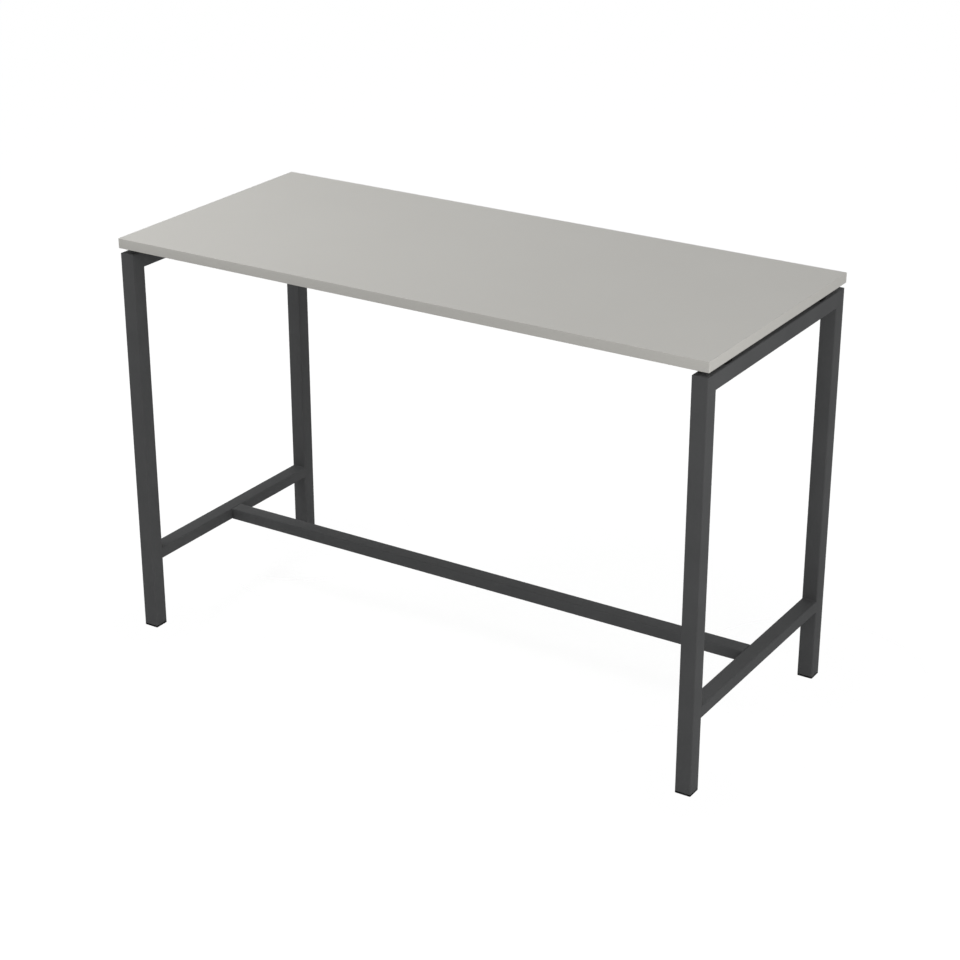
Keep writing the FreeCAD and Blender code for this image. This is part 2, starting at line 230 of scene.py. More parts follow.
def mixColours(tree, amount, first, second):
    # a mix node keeps the sockets of its two colours at 6 and 7, and the mixed one at 2
    mix = tree.nodes.new("ShaderNodeMix")
    mix.data_type = "RGBA"
    tree.links.new(amount, mix.inputs[0])
    for socket, colour in ((mix.inputs[6], first), (mix.inputs[7], second)):
        if isinstance(colour, tuple):
            socket.default_value = (*colour, 1)
        else:
            tree.links.new(colour, socket)
    return mix.outputs[2]


def mapRange(tree, amount, taken, given):
    ranger = tree.nodes.new("ShaderNodeMapRange")
    for name, value in zip(("From Min", "From Max", "To Min", "To Max"), (*taken, *given)):
        ranger.inputs[name].default_value = value
    tree.links.new(amount, ranger.inputs["Value"])
    return ranger.outputs["Result"]


def spread(tree, noise, low=0, high=1):
    # a noise stays near its middle, so its usual reach is widened to run from low to high
    return mapRange(tree, noise, noiseReach, (low, high))


def addBump(tree, shader, height, depth, under=None):
    bump = tree.nodes.new("ShaderNodeBump")
    bump.inputs["Strength"].default_value = 1
    bump.inputs["Distance"].default_value = depth
    tree.links.new(height, bump.inputs["Height"])
    if under:
        tree.links.new(under, bump.inputs["Normal"])
    tree.links.new(bump.outputs["Normal"], shader.inputs["Normal"])
    return bump.outputs["Normal"]


def paintShader(tree, shader, colour, roughness):
    tree.links.new(colour, shader.inputs["Base Color"])
    tree.links.new(roughness, shader.inputs["Roughness"])


powderCoat = {
    "colour": (0.059, 0.060, 0.061),
    "paler": (0.068, 0.069, 0.070),
    "driftScale": 9,
    "fleck": (0.095, 0.096, 0.097),
    "fleckAmount": 0.35,
    "shine": 0.12,
    "grainScale": 1100,
    "grainDepth": 0.05 * mm,
    "peelScale": 260,
    "peelDepth": 0.06 * mm,
    "rippleScale": 120,
    "rippleWander": 1.5,
    "rippleDepth": 0.25 * mm,
    "roughness": (0.62, 0.76),
}


def makePowderCoat(name, ripples=False):
    # fine-textured anthracite coating, with the ripples of the bead under it on a weld
    finish, tree, shader, place = startFinish(name)
    shader.inputs["Specular IOR Level"].default_value = powderCoat["shine"]
    drift = spread(tree, addNoise(tree, place, powderCoat["driftScale"]))
    grain = addNoise(tree, place, powderCoat["grainScale"], detail=3)
    base = mixColours(tree, drift, powderCoat["colour"], powderCoat["paler"])
    amount = spread(tree, grain, high=powderCoat["fleckAmount"])
    flecked = mixColours(tree, amount, base, powderCoat["fleck"])
    paintShader(tree, shader, flecked, spread(tree, grain, *powderCoat["roughness"]))
    peel = addBump(tree, shader, addNoise(tree, place, powderCoat["peelScale"]), powderCoat["peelDepth"])
    if ripples:
        wave = tree.nodes.new("ShaderNodeTexWave")
        wave.bands_direction = "X"
        wave.inputs["Scale"].default_value = powderCoat["rippleScale"]
        wave.inputs["Distortion"].default_value = powderCoat["rippleWander"]
        tree.links.new(place, wave.inputs["Vector"])
        peel = addBump(tree, shader, wave.outputs[1], powderCoat["rippleDepth"], under=peel)
    addBump(tree, shader, grain, powderCoat["grainDepth"], under=peel)
    return finish


boardFace = {
    "colour": (0.492, 0.482, 0.452),
    "paler": (0.504, 0.494, 0.464),
    "driftScale": 3.5,
    "pearl": (0.6, 0.59, 0.56),
    "pearlAmount": 0.12,
    "pearlScale": 1600,
    "pearlDepth": 0.02 * mm,
    "roughness": (0.44, 0.54),
}


def makeBoardFace():
    # pale warm-grey melamine with a faint pearl
    finish, tree, shader, place = startFinish("melamine")
    drift = spread(tree, addNoise(tree, place, boardFace["driftScale"], detail=4))
    pearl = addNoise(tree, place, boardFace["pearlScale"])
    base = mixColours(tree, drift, boardFace["colour"], boardFace["paler"])
    amount = spread(tree, pearl, high=boardFace["pearlAmount"])
    pearly = mixColours(tree, amount, base, boardFace["pearl"])
    paintShader(tree, shader, pearly, spread(tree, pearl, *boardFace["roughness"]))
    addBump(tree, shader, pearl, boardFace["pearlDepth"])
    return finish


edgeBand = {
    "colour": (0.47, 0.46, 0.43),
    "paler": (0.49, 0.48, 0.45),
    "lineScale": 2600,
    "lineStretch": (0.004, 0.004, 1),  # drawn out along the band
    "lineDepth": 0.012 * mm,
    "roughness": (0.36, 0.46),
    "arris": 1 * mm,
}


def makeEdgeBandFinish():
    # extruded plastic, with the faint lines of the die along the band
    finish, tree, shader, place = startFinish("edge_band_plastic")
    lines = addNoise(tree, place, edgeBand["lineScale"], stretch=edgeBand["lineStretch"])
    colour = mixColours(tree, spread(tree, lines), edgeBand["colour"], edgeBand["paler"])
    paintShader(tree, shader, colour, spread(tree, lines, *edgeBand["roughness"]))
    addBump(tree, shader, lines, edgeBand["lineDepth"])
    return finish


blackPlastic = {
    "colour": (0.004, 0.004, 0.004),
    "paler": (0.007, 0.007, 0.007),
    "shine": 0.06,
    "sparkScale": 1500,
    "sparkDepth": 0.04 * mm,
    "roughness": (0.5, 0.64),
}


def makeBlackPlastic():
    # moulded plastic with a spark-eroded grain
    finish, tree, shader, place = startFinish("moulded_black_plastic")
    shader.inputs["Specular IOR Level"].default_value = blackPlastic["shine"]
    grain = addNoise(tree, place, blackPlastic["sparkScale"], detail=3)
    colour = mixColours(tree, spread(tree, grain), blackPlastic["colour"], blackPlastic["paler"])
    paintShader(tree, shader, colour, spread(tree, grain, *blackPlastic["roughness"]))
    addBump(tree, shader, grain, blackPlastic["sparkDepth"])
    return finish


zincPlate = {
    "colour": (0.53, 0.55, 0.57),
    "yellower": (0.60, 0.59, 0.54),
    "cloudScale": 220,
    "grainScale": 2500,
    "grainDepth": 0.01 * mm,
    "roughness": (0.28, 0.44),
}


def makeZincPlate():
    # bright zinc with a cloudy passivation
    finish, tree, shader, place = startFinish("zinc_plate")
    clouds = addNoise(tree, place, zincPlate["cloudScale"], detail=4)
    shader.inputs["Metallic"].default_value = 1
    colour = mixColours(tree, spread(tree, clouds), zincPlate["colour"], zincPlate["yellower"])
    paintShader(tree, shader, colour, spread(tree, clouds, *zincPlate["roughness"]))
    addBump(tree, shader, addNoise(tree, place, zincPlate["grainScale"]), zincPlate["grainDepth"])
    return finish


coatFinish = makePowderCoat("anthracite_powder_coat")
weldFinish = makePowderCoat("anthracite_powder_coat_over_weld", ripples=True)
faceFinish = makeBoardFace()
bandFinish = makeEdgeBandFinish()
plasticFinish = makeBlackPlastic()
zincFinish = makeZincPlate()
print("finishes ready")


# board and its edge bands

boardPiece = {
    "jointChamfer": 0.15 * mm,  # hairline between the face and the band
}


def makeBoard():
    low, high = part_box("tabletop_board")
    shape = startBlock("faced_board", low, high)
    openMesh(shape)
    roundEdges(shape, isLevel, boardPiece["jointChamfer"], steps=1)
    closeMesh()
    handOver(shape, "table", faceFinish, "board_face", "tabletop_board")


def makeEdgeBand(name, axis):
    # axis is the band's direction, 0 along X and 1 along Y
    low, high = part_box(name)
    across = 1 - axis
    outerSide = high[across] if low[across] > 0 else low[across]
    shape = startBlock(name + "_strip", low, high)

    def isOuter(point):
        return abs(point[across] - outerSide) < hair

    def isArris(a, b):
        # the outer side's edges, and on a long band also those round its bare ends
        if isOuter(a) and isOuter(b):
            return axis == 0 or isLevel(a, b)
        return axis == 0 and isOuter(a) != isOuter(b)

    openMesh(shape)
    roundEdges(shape, isArris, edgeBand["arris"], steps=5)
    closeMesh()
    handOver(shape, "table", bandFinish, "edge_band", name)


makeBoard()
makeEdgeBand("edge_band_front", 0)
makeEdgeBand("edge_band_back", 0)
makeEdgeBand("edge_band_left", 1)
makeEdgeBand("edge_band_right", 1)
print("board and edge bands ready")


# side frames

frameTube = {
    "corner": 3 * mm,
    "cornerSteps": 5,
    "wall": 2 * mm,
    "mitreRound": 1.6 * mm,  # weld ground round over the outer edge of a mitre
    "mitreFlats": (22.5, 45, 67.5),  # degrees of the flats that make this round
    "weldIntoLeg": 3 * mm,  # a foot rail's weld fills the legs' rounded corners flush
}

# in the top rails and the beams
boardScrewHoles = {
    "railPitch": 480 * mm,
    "beamPitch": 800 * mm,
    "access": 16 * mm,  # in the lower wall, for the head
    "clearance": 7 * mm,  # in the upper wall, for the shank
    "rim": 0.3 * mm,
}


def makeTube(name, low, high, axis):
    shape = startBlock(name, low, high)

    def isAlongTube(a, b):
        return abs((b - a).normalized()[axis]) > straight

    openMesh(shape)
    roundEdges(shape, isAlongTube, frameTube["corner"], frameTube["cornerSteps"])
    hollowOut(shape, axis, frameTube["wall"])
    closeMesh()
    return shape


def roundMitre(outer, side):
    radius = frameTube["mitreRound"]
    middle = outer + Vector((0, -side * radius, -radius))
    for degrees in frameTube["mitreFlats"]:
        turn = math.radians(degrees)
        normal = Vector((0, side * math.cos(turn), math.sin(turn)))
        bpy.ops.mesh.select_all(action="SELECT")
        bpy.ops.mesh.bisect(plane_co=middle + radius * normal, plane_no=normal, clear_outer=True,
                            use_fill=True)


def cutMitre(shape, side, keepBelow):
    # the plane runs down at 45 degrees from the portal's outer top edge at the front (-1) or back (1)
    legLow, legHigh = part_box("leg_front_left")
    outer = Vector((0, side * abs(legLow.y), legHigh.z))
    normal = Vector((0, -side, 1)).normalized()
    openMesh(shape)
    bpy.ops.mesh.select_all(action="SELECT")
    bpy.ops.mesh.bisect(plane_co=outer, plane_no=normal, clear_outer=keepBelow, clear_inner=not keepBelow)
    bpy.ops.mesh.bridge_edge_loops()
    roundMitre(outer, side)
    closeMesh()


def softenHole(shape, place, diameter, height):
    # takes the sharpness off a hole's rim
    slack = 0.01 * mm

    def isOnRim(point):
        fromAxis = (point.xy - Vector(place)).length
        return abs(point.z - height) < slack and abs(fromAxis - diameter / 2) < 2 * slack

    openMesh(shape)
    roundEdges(shape, bothEnds(isOnRim), boardScrewHoles["rim"], steps=2)
    closeMesh()


def drillForBoard(shape, places, bottom, top):
    wall = frameTube["wall"]
    access, clearance = boardScrewHoles["access"], boardScrewHoles["clearance"]
    for place in places:
        cutAway(shape, startRod("drill", place, access, bottom - wall, bottom + 2 * wall, sides=48))
        cutAway(shape, startRod("drill", place, clearance, top - 2 * wall, top + wall, sides=32))
        softenHole(shape, place, access, bottom)


def makeLegs():
    low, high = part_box("leg_front_left")
    first = makeTube("leg_tube_front_left", low, high, axis=2)
    cutMitre(first, -1, keepBelow=True)
    acrossTable = abs(low.x + high.x)
    legs = {
        "front_left": first,
        "front_right": copyPiece(first, "leg_tube_front_right", (acrossTable, 0, 0)),
        "back_right": copyPiece(first, "leg_tube_back_right", turn=180),
        "back_left": copyPiece(first, "leg_tube_back_left", (-acrossTable, 0, 0), turn=180),
    }
    for corner, shape in legs.items():
        handOver(shape, "table", coatFinish, "powder_coat", "leg_" + corner)


def makeTopRails():
    low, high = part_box("top_rail_left")
    shape = makeTube("top_rail_tube_left", low, high, axis=1)
    cutMitre(shape, -1, keepBelow=False)
    cutMitre(shape, 1, keepBelow=False)
    x = (low.x + high.x) / 2
    places = [(x, row * boardScrewHoles["railPitch"] / 2) for row in (-1, 1)]
    drillForBoard(shape, places, low.z, high.z)
    other = copyPiece(shape, "top_rail_tube_right", turn=180)
    handOver(shape, "table", coatFinish, "powder_coat", "top_rail_left")
    handOver(other, "table", coatFinish, "powder_coat", "top_rail_right")


def makeFootRails():
    low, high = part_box("foot_rail_left")
    reach = Vector((0, frameTube["weldIntoLeg"], 0))
    shape = makeTube("foot_rail_tube_left", low - reach, high + reach, axis=1)
    other = copyPiece(shape, "foot_rail_tube_right", turn=180)
    handOver(shape, "table", coatFinish, "powder_coat", "foot_rail_left")
    handOver(other, "table", coatFinish, "powder_coat", "foot_rail_right")


makeLegs()
makeTopRails()
makeFootRails()
print("side frames ready")


# fillet welds in the inner corners of the side frames

weldBead = {
    "size": 2.5 * mm,
    "flat": 34 * mm,  # the flat of a tube between its rounded corners
    "bite": 0.5 * mm,  # how far the bead goes into both tubes
    "toe": 0.02 * mm,  # left standing at both edges of the face, so that they don't run out to nothing
    "hollow": 0.12,  # profile of the face: 0.5 bulges like a quarter round, and less is hollow
}


def makeWeld(name, corner, alongY, upwards):
    # a bead along X with a hollow face, in the corner between a leg and a rail
    size, bite = weldBead["size"], weldBead["bite"]
    far = corner + Vector((0, alongY * size, upwards * size))
    near = corner - Vector((0, alongY * bite, upwards * bite))
    reach = Vector((weldBead["flat"] / 2, 0, 0))
    low = Vector(map(min, near, far)) - reach
    high = Vector(map(max, near, far)) + reach
    shape = startBlock(name, low, high)

    def isFar(point):
        return abs(point.y - far.y) < hair and abs(point.z - far.z) < hair

    openMesh(shape)
    roundEdges(shape, bothEnds(isFar), size - weldBead["toe"], steps=5, profile=weldBead["hollow"])
    closeMesh()
    handOver(shape, "table", weldFinish, "powder_coat")


def makeWelds():
    legLow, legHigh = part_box("leg_front_left")
    footLow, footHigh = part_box("foot_rail_left")
    x = abs(legLow.x + legHigh.x) / 2
    y = abs(footLow.y)
    beads = (
        ("mitre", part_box("top_rail_left")[0].z, -1),
        ("above_foot_rail", footHigh.z, 1),
        ("below_foot_rail", footLow.z, -1),
    )
    for sideName, side in sideNames.items():
        for rowName, row in rowNames.items():
            for bead, z, upwards in beads:
                name = f"weld_{bead}_{rowName}_{sideName}"
                makeWeld(name, Vector((side * x, row * y, z)), -row, upwards)


makeWelds()
print("welds ready")


# crossbars, with holes for the set screws that lock them on their stubs

crossbarNodes = ("stretcher", "beam_front", "beam_back")
crossbar = {
    "endRound": 0.4 * mm,
    "lockHole": 6.2 * mm,
    "lockInset": 30 * mm,  # from the legs' inner faces
}


def lockPlaces(node):
    # one near each end of a crossbar
    low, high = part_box(node)
    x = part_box("leg_front_right")[0].x - crossbar["lockInset"]
    return [(side * x, (low.y + high.y) / 2) for side in (-1, 1)]


def makeCrossbar(node, holdsBoard):
    low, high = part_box(node)
    wall = frameTube["wall"]
    shape = makeTube(node + "_tube", low, high, axis=0)

    def isOuterEnd(a, b):
        # across the tube and on the outside of its wall
        depths = [min(p.y - low.y, high.y - p.y, p.z - low.z, high.z - p.z) for p in (a, b)]
        return abs(a.x - b.x) < hair and max(depths) < wall / 2

    openMesh(shape)
    roundEdges(shape, isOuterEnd, crossbar["endRound"], steps=2)
    closeMesh()
    for place in lockPlaces(node):
        drill = startRod("drill", place, crossbar["lockHole"], low.z - wall, low.z + 2 * wall, sides=32)
        cutAway(shape, drill)
    if holdsBoard:
        y = (low.y + high.y) / 2
        places = [(side * boardScrewHoles["beamPitch"] / 2, y) for side in (-1, 1)]
        drillForBoard(shape, places, low.z, high.z)
    handOver(shape, "table", coatFinish, "powder_coat", node)


for crossbarNode in crossbarNodes:
    makeCrossbar(crossbarNode, holdsBoard=crossbarNode != "stretcher")
print("crossbars ready")


# spacers under the board and the screws that hold it down

spacer = {
    "across": 30 * mm,
    "corner": 3 * mm,
    "rim": 0.5 * mm,
    "hole": 7 * mm,
}

boardScrew = {
    "shank": 6 * mm,
    "tip": 1 * mm,
    "intoBoard": 14 * mm,
    "headWide": 10.5 * mm,
    "headHigh": 3.3 * mm,
    "dome": 2.2 * mm,
    "socket": 4 * mm,
    "socketDeep": 2 * mm,
    "washerWide": 12 * mm,
    "washerHole": 6.4 * mm,
    "washerHigh": 1.6 * mm,
    "washerRim": 0.25 * mm,
}


def boardScrewPlaces():
    # four on the top rails, then four on the beams
    railLow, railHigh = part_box("top_rail_left")
    beamLow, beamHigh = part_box("beam_front")
    onRail = (abs(railLow.x + railHigh.x) / 2, boardScrewHoles["railPitch"] / 2)
    onBeam = (boardScrewHoles["beamPitch"] / 2, abs(beamLow.y + beamHigh.y) / 2)
    return [(side * x, row * y) for x, y in (onRail, onBeam) for side in (-1, 1) for row in (-1, 1)]


def makeSpacer(place):
    low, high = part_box("board_spacers")
    half = spacer["across"] / 2
    x, y = place
    shape = startBlock("spacer_1", (x - half, y - half, low.z), (x + half, y + half, high.z))
    openMesh(shape)
    roundEdges(shape, isUpright, spacer["corner"], steps=4)
    roundEdges(shape, isLevel, spacer["rim"], steps=2)
    closeMesh()
    cutAway(shape, startRod("drill", place, spacer["hole"], low.z - past, high.z + past, sides=32))
    return shape


def makeBoardScrew(place, seat):
    # a button head under the tube's upper wall, with its shank up through the spacer into the board
    headTop = seat - boardScrew["washerHigh"]
    headBottom = headTop - boardScrew["headHigh"]
    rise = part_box("tabletop_board")[0].z + boardScrew["intoBoard"] - headTop
    shape = startRod("board_screw_1", place, boardScrew["headWide"], headBottom, headTop, sides=40)
    openMesh(shape)
    roundEdges(shape, bothEnds(lambda p: abs(p.z - headBottom) < hair), boardScrew["dome"], steps=5)
    pickFaces(shape, lambda middle, normal: normal.z > 0.9 and middle.z > headTop - hair)
    bpy.ops.mesh.inset(thickness=(boardScrew["headWide"] - boardScrew["shank"]) / 2)
    bpy.ops.mesh.extrude_region_move(TRANSFORM_OT_translate={"value": (0, 0, rise)})
    bpy.ops.mesh.bevel(offset=boardScrew["tip"], segments=1, affect="EDGES")
    closeMesh()
    cutSocket(shape, place, boardScrew, headBottom)
    return shape


def makeWasher(place, seat):
    bottom = seat - boardScrew["washerHigh"]
    shape = startRod("board_screw_washer_1", place, boardScrew["washerWide"], bottom, seat, sides=40)
    openMesh(shape)
    roundEdges(shape, isLevel, boardScrew["washerRim"], steps=2)
    flat = (boardScrew["washerWide"] - boardScrew["washerHole"]) / 2 - boardScrew["washerRim"]
    hollowOut(shape, 2, flat)
    closeMesh()
    return shape


def makeBoardFixings():
    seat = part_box("beam_front")[1].z - frameTube["wall"]
    spots = [(*place, seat) for place in boardScrewPlaces()]
    place = spots[0][:2]
    firsts = [
        (makeSpacer(place), plasticFinish, "black_plastic", ["board_spacers"]),
        (makeBoardScrew(place, seat), zincFinish, "zinc_plated_steel", []),
        (makeWasher(place, seat), zincFinish, "zinc_plated_steel", []),
    ]
    for first, finish, slotName, nodes in firsts:
        twins = [repeatPiece(first, number, spots[0], spot) for number, spot in enumerate(spots[1:], 2)]
        for shape in (first, *twins):
            handOver(shape, "table", finish, slotName, *nodes)


makeBoardFixings()
print("spacers and board screws ready")


# levelling feet

footPad = {
    "corner": 3 * mm,
    "rim": 0.4 * mm,
    "base": 3 * mm,
    "guide": 20 * mm,
    "guideCorner": 0.5 * mm,
    "guideRoot": 1 * mm,  # the guide starts inside the base, this far above its underside
    "bore": 10 * mm,
    "collarRoom": 14.8 * mm,
    "collarHigh": 2.3 * mm,
    "mouth": 12.8 * mm,
    "mouthOverlap": 0.1 * mm,
    "lip": 1.7 * mm,
    "slot": 1.6 * mm,
    "slotDeep": 12 * mm,
    "keyHole": 8 * mm,
    "grooveOuter": 30 * mm,
    "grooveWide": 1 * mm,
    "grooveDeep": 0.4 * mm,
}


def squareTool(place, width, depth, bottom, top):
    x, y = place
    return startBlock("tool", (x - width / 2, y - depth / 2, bottom), (x + width / 2, y + depth / 2, top))


def makeFootPad(place):
    low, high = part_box("foot_pad_front_left")
    baseTop = low.z + footPad["base"]
    shape = startBlock("foot_pad_moulding_1", low, (high.x, high.y, baseTop))
    openMesh(shape)
    roundEdges(shape, isUpright, footPad["corner"], steps=5)
    roundEdges(shape, isLevel, footPad["rim"], steps=2)
    closeMesh()
    # a shallow square groove round the underside
    outer, grooveTop = footPad["grooveOuter"], low.z + footPad["grooveDeep"]
    groove = squareTool(place, outer, outer, low.z - past, grooveTop)
    openMesh(groove)
    hollowOut(groove, 2, footPad["grooveWide"])
    closeMesh()
    cutAway(shape, groove)
    # the square guide that snaps over the stem's collar
    width = footPad["guide"]
    guide = squareTool(place, width, width, low.z + footPad["guideRoot"], high.z)
    openMesh(guide)
    roundEdges(guide, isUpright, footPad["guideCorner"], steps=2)
    closeMesh()
    cutAway(shape, guide, "UNION")
    collarTop = high.z - footPad["lip"]
    collarSeat = collarTop - footPad["collarHigh"]
    for across, bottom, top in (
        (footPad["bore"], baseTop, high.z + past),
        (footPad["collarRoom"], collarSeat, collarTop),
        (footPad["mouth"], collarTop - footPad["mouthOverlap"], high.z + past),
    ):
        cutAway(shape, squareTool(place, across, across, bottom, top))
    slotBottom = high.z - footPad["slotDeep"]
    for across, along in ((footPad["slot"], width + past), (width + past, footPad["slot"])):
        cutAway(shape, squareTool(place, across, along, slotBottom, high.z + past))
    cutAway(shape, startRod("drill", place, footPad["keyHole"], low.z - past, baseTop + past, sides=40))
    return shape


thread = {
    # steps outwards, in heights of the ridge, and upwards, in pitches
    "profile": ((0, 0.15), (1, 0.3), (0, 0.15), (-1, 0.3), (0, 0.1)),
    "stepsPerTurn": 24,
    "startBelow": 1.508,  # pitches: the ends are then cut between two rows of points, never through one
    "merge": 0.01 * mm,
}


def makeThread(name, place, screw, bottom, top):
    # one ridge is drawn point by point, then wound up the axis and cut flat at both ends
    root, pitch = screw["root"], screw["pitch"]
    ridge = (screw["wide"] - root) / 2
    deselectAll()
    bpy.ops.mesh.primitive_plane_add(size=2 * mm, location=(root / 2 - mm, mm, 0))
    shape = settle(name)
    openMesh(shape)
    bpy.ops.mesh.select_mode(type="VERT")
    mesh = bmesh.from_edit_mesh(shape.data)
    start = max(mesh.verts, key=lambda vert: vert.co.x - vert.co.y)  # the corner on the thread's root
    for vert in mesh.verts:
        vert.select_set(vert != start)
    bmesh.update_edit_mesh(shape.data)
    bpy.ops.mesh.delete(type="VERT")
    bpy.ops.mesh.select_all(action="SELECT")
    for out, up in thread["profile"]:
        bpy.ops.mesh.extrude_region_move(TRANSFORM_OT_translate={"value": (out * ridge, 0, up * pitch)})
    closeMesh()
    winding = shape.modifiers.new("winding", "SCREW")
    winding.axis = "Z"
    winding.angle = math.radians(360)
    winding.screw_offset = pitch
    winding.iterations = math.ceil((top - bottom) / pitch) + 2
    winding.steps = winding.render_steps = thread["stepsPerTurn"]
    winding.use_merge_vertices = True
    winding.merge_threshold = thread["merge"]
    applyModifier(shape, winding)
    shape.location = (place[0], place[1], bottom - pitch * thread["startBelow"])
    bpy.ops.object.transform_apply(location=True, rotation=True, scale=True)
    openMesh(shape)
    bpy.ops.mesh.select_all(action="SELECT")
    bpy.ops.mesh.remove_doubles(threshold=thread["merge"])
    bpy.ops.mesh.normals_make_consistent(inside=False)
    for height, direction in ((bottom, -1), (top, 1)):
        bpy.ops.mesh.select_all(action="SELECT")
        bpy.ops.mesh.bisect(plane_co=(0, 0, height), plane_no=(0, 0, direction), clear_outer=True,
                            use_fill=True, threshold=hair)
    bpy.ops.mesh.select_all(action="SELECT")
    bpy.ops.mesh.normals_make_consistent(inside=False)
    closeMesh()
    return shape


footStem = {
    "wide": 10 * mm,
    "root": 8.2 * mm,
    "pitch": 1.5 * mm,
    "intoCollar": 0.5 * mm,  # how far the thread runs down into the collar
    "collarWide": 14 * mm,
    "collarHigh": 2 * mm,
    "collarRim": 0.3 * mm,
    "socket": 6 * mm,
    "socketDeep": 8 * mm,
}


def makeFootStem(place):
    low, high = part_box("foot_stem_front_left")
    collarTop = low.z + footStem["collarHigh"]
    shape = makeThread("foot_stem_screw_1", place, footStem, collarTop - footStem["intoCollar"], high.z)
    collar = startRod("collar", place, footStem["collarWide"], low.z, collarTop, sides=40)
    openMesh(collar)
    roundEdges(collar, isLevel, footStem["collarRim"], steps=2)
    closeMesh()
    cutAway(shape, collar, "UNION")
    cutSocket(shape, place, footStem, low.z)
    return shape


def makeFeet():
    low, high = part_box("foot_pad_front_left")
    x, y = (low.x + high.x) / 2, (low.y + high.y) / 2
    firsts = [makeFootPad((x, y)), makeFootStem((x, y))]
    spots = {f"{rowName}_{sideName}": (side * abs(x), row * abs(y), 0)
             for sideName, side in sideNames.items() for rowName, row in rowNames.items()}
    here, *others = spots.values()
    feet = [firsts]
    for number, there in enumerate(others, 2):
        feet.append([repeatPiece(first, number, here, there) for first in firsts])
    for corner, (pad, stem) in zip(spots, feet):
        handOver(pad, "pad_" + corner, plasticFinish, "black_plastic", "foot_pad_" + corner)
        handOver(stem, "stem_" + corner, zincFinish, "zinc_plated_steel", "foot_stem_" + corner)


makeFeet()
print("levelling feet ready")


# set screws that lock the crossbars

lockScrew = {
    "wide": 6 * mm,
    "root": 4.9 * mm,
    "pitch": 1 * mm,
    "long": 5 * mm,
    "socket": 3 * mm,
    "socketDeep": 2.5 * mm,
}


def makeLockScrews():
    # each one ends against the underside of its stub
    spots = [(*place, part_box(node + "_stub_left")[0].z)
             for node in crossbarNodes for place in lockPlaces(node)]
    x, y, top = spots[0]
    bottom = top - lockScrew["long"]
    first = makeThread("lock_screw_1", (x, y), lockScrew, bottom, top)
    cutSocket(first, (x, y), lockScrew, bottom)
    twins = [repeatPiece(first, number, spots[0], spot) for number, spot in enumerate(spots[1:], 2)]
    for shape in (first, *twins):
        handOver(shape, "table", zincFinish, "zinc_plated_steel")


makeLockScrews()
print("lock screws ready")


# nodes that keep their own shape: plugs and bushes in the legs, and the stubs inside the crossbars

def finishNode(name, finish):
    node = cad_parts[name]
    if not node.material_slots:
        node.data.materials.append(finish)
    for slot in node.material_slots:
        slot.material = finish


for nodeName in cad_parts:
    if nodeName.startswith("leg_plug_"):
        finishNode(nodeName, plasticFinish)
    elif nodeName == "foot_bushes":
        finishNode(nodeName, zincFinish)
    elif "_stub_" in nodeName:
        finishNode(nodeName, coatFinish)
print("carried-over nodes finished")


# studio: a white room, a white floor that keeps the shadow, soft lights and a camera

studio = {
    "roomLight": 0.425,
    "floorSize": 120,
    "floorColour": (0.95, 0.95, 0.95),
    "floorGlow": 0.49,  # seen by the camera alone, so that the open floor is as white as the room
    "floorVeil": 0.74,  # how much of the white room shows through the floor
    "clearRound": (0.1, 0.3),  # round each foot the camera sees no floor, so that it shows when lowered
    "sunlight": 0.69,
    "sunFrom": (0.8, -0.25, 0.45),
    "sunSoftness": 50,
    "lampSize": 1.2,
    "lampAim": (0, 0, 1),
}
# each lamp's place and watts
studioLamps = {
    "lamp_over_left_end": ((-1.8, -1.0, 3.0), 31),
    "lamp_beside_right_end": ((1.8, -0.9, 1.3), 7.6),
}


def addMath(tree, operation, first, second):
    # each of the two is another node's output or a plain number
    node = tree.nodes.new("ShaderNodeMath")
    node.operation = operation
    for socket, value in zip(node.inputs, (first, second)):
        if isinstance(value, float):
            socket.default_value = value
        else:
            tree.links.new(value, socket)
    return node.outputs[0]


def makeRoom():
    # a dim white room as a light, and a bright one where the camera, gloss or glass looks straight at it
    room = bpy.data.worlds.new("white_room")
    bpy.context.scene.world = room
    room.use_nodes = True
    tree = room.node_tree
    tree.nodes.clear()
    output = tree.nodes.new("ShaderNodeOutputWorld")
    mix = tree.nodes.new("ShaderNodeMixShader")
    rays = tree.nodes.new("ShaderNodeLightPath").outputs
    seen = addMath(tree, "MAXIMUM", rays["Is Camera Ray"], rays["Is Glossy Ray"])
    tree.links.new(addMath(tree, "MAXIMUM", seen, rays["Is Transmission Ray"]), mix.inputs[0])
    for socket, strength in ((mix.inputs[1], studio["roomLight"]), (mix.inputs[2], 1)):
        wall = tree.nodes.new("ShaderNodeBackground")
        wall.inputs["Color"].default_value = (1, 1, 1, 1)
        wall.inputs["Strength"].default_value = strength
        tree.links.new(wall.outputs[0], socket)
    tree.links.new(mix.outputs[0], output.inputs["Surface"])


def addFootClearing(tree):
    # how far the camera sees through the floor: fully at each foot, and as the veil says further out
    low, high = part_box("foot_pad_back_right")
    place = tree.nodes.new("ShaderNodeTexCoord")
    quarter = tree.nodes.new("ShaderNodeVectorMath")  # brings all four feet to one place
    quarter.operation = "ABSOLUTE"
    tree.links.new(place.outputs["Object"], quarter.inputs[0])
    fromFoot = tree.nodes.new("ShaderNodeVectorMath")
    fromFoot.operation = "DISTANCE"
    fromFoot.inputs[1].default_value = ((low.x + high.x) / 2, (low.y + high.y) / 2, 0)
    tree.links.new(quarter.outputs[0], fromFoot.inputs[0])
    return mapRange(tree, fromFoot.outputs["Value"], studio["clearRound"], (1, studio["floorVeil"]))


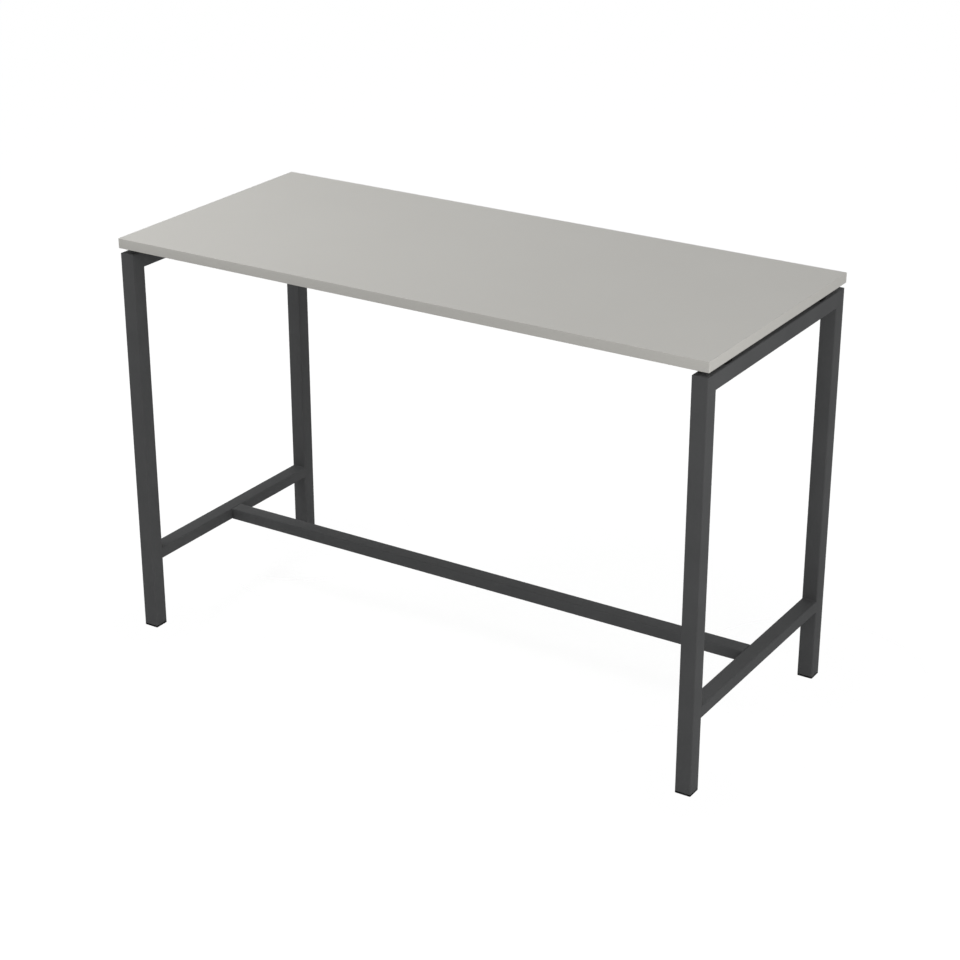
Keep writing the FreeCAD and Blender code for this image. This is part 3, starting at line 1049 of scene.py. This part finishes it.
def makeFloor():
    deselectAll()
    bpy.ops.mesh.primitive_plane_add(size=studio["floorSize"], location=(0, 0, 0))
    floor = bpy.context.object
    floor.name = "floor"
    paint = bpy.data.materials.new("floor_paint")
    paint.use_nodes = True
    tree = paint.node_tree
    tree.nodes.clear()
    output = tree.nodes.new("ShaderNodeOutputMaterial")
    mix = tree.nodes.new("ShaderNodeMixShader")
    lit = tree.nodes.new("ShaderNodeAddShader")
    matt = tree.nodes.new("ShaderNodeBsdfDiffuse")
    matt.inputs["Color"].default_value = (*studio["floorColour"], 1)
    glow = tree.nodes.new("ShaderNodeEmission")
    clear = tree.nodes.new("ShaderNodeBsdfTransparent")
    toCamera = tree.nodes.new("ShaderNodeLightPath").outputs["Is Camera Ray"]
    fromBelow = tree.nodes.new("ShaderNodeNewGeometry").outputs["Backfacing"]
    # seen from below, there is no floor at all
    veil = addMath(tree, "MAXIMUM", fromBelow, addFootClearing(tree))
    tree.links.new(addMath(tree, "MULTIPLY", toCamera, veil), mix.inputs[0])
    tree.links.new(addMath(tree, "MULTIPLY", toCamera, studio["floorGlow"]), glow.inputs["Strength"])
    tree.links.new(matt.outputs[0], lit.inputs[0])
    tree.links.new(glow.outputs[0], lit.inputs[1])
    tree.links.new(lit.outputs[0], mix.inputs[1])
    tree.links.new(clear.outputs[0], mix.inputs[2])
    tree.links.new(mix.outputs[0], output.inputs["Surface"])
    floor.data.materials.append(paint)


def makeLights():
    daylight = bpy.data.lights.new("soft_sun", "SUN")
    daylight.energy = studio["sunlight"]
    daylight.angle = math.radians(studio["sunSoftness"])
    sun = bpy.data.objects.new("soft_sun", daylight)
    bpy.context.scene.collection.objects.link(sun)
    sun.rotation_euler = Vector(studio["sunFrom"]).to_track_quat("Z", "Y").to_euler()
    for name, (place, watts) in studioLamps.items():
        panel = bpy.data.lights.new(name, "AREA")
        panel.energy = watts
        panel.size = studio["lampSize"]
        lamp = bpy.data.objects.new(name, panel)
        bpy.context.scene.collection.objects.link(lamp)
        lamp.location = place
        towards = Vector(studio["lampAim"]) - lamp.location
        lamp.rotation_euler = towards.to_track_quat("-Z", "Y").to_euler()
        lamp.visible_camera = False


cameraPlace = {
    "position": (2.706, -4.255, 2.669),
    "turn": 32.3,
    "downwards": 23.58,
    "lens": 83.4,
    "sensor": 36,
}


def makeCamera():
    lens = bpy.data.cameras.new("camera")
    lens.lens = cameraPlace["lens"]
    lens.sensor_width = cameraPlace["sensor"]
    camera = bpy.data.objects.new("camera", lens)
    bpy.context.scene.collection.objects.link(camera)
    camera.location = cameraPlace["position"]
    tilt = math.radians(90 - cameraPlace["downwards"])
    camera.rotation_euler = (tilt, 0, math.radians(cameraPlace["turn"]))
    bpy.context.scene.camera = camera


makeRoom()
makeFloor()
makeLights()
makeCamera()
bpy.context.scene.view_settings.view_transform = "Standard"
print("studio ready")

print("table ready")
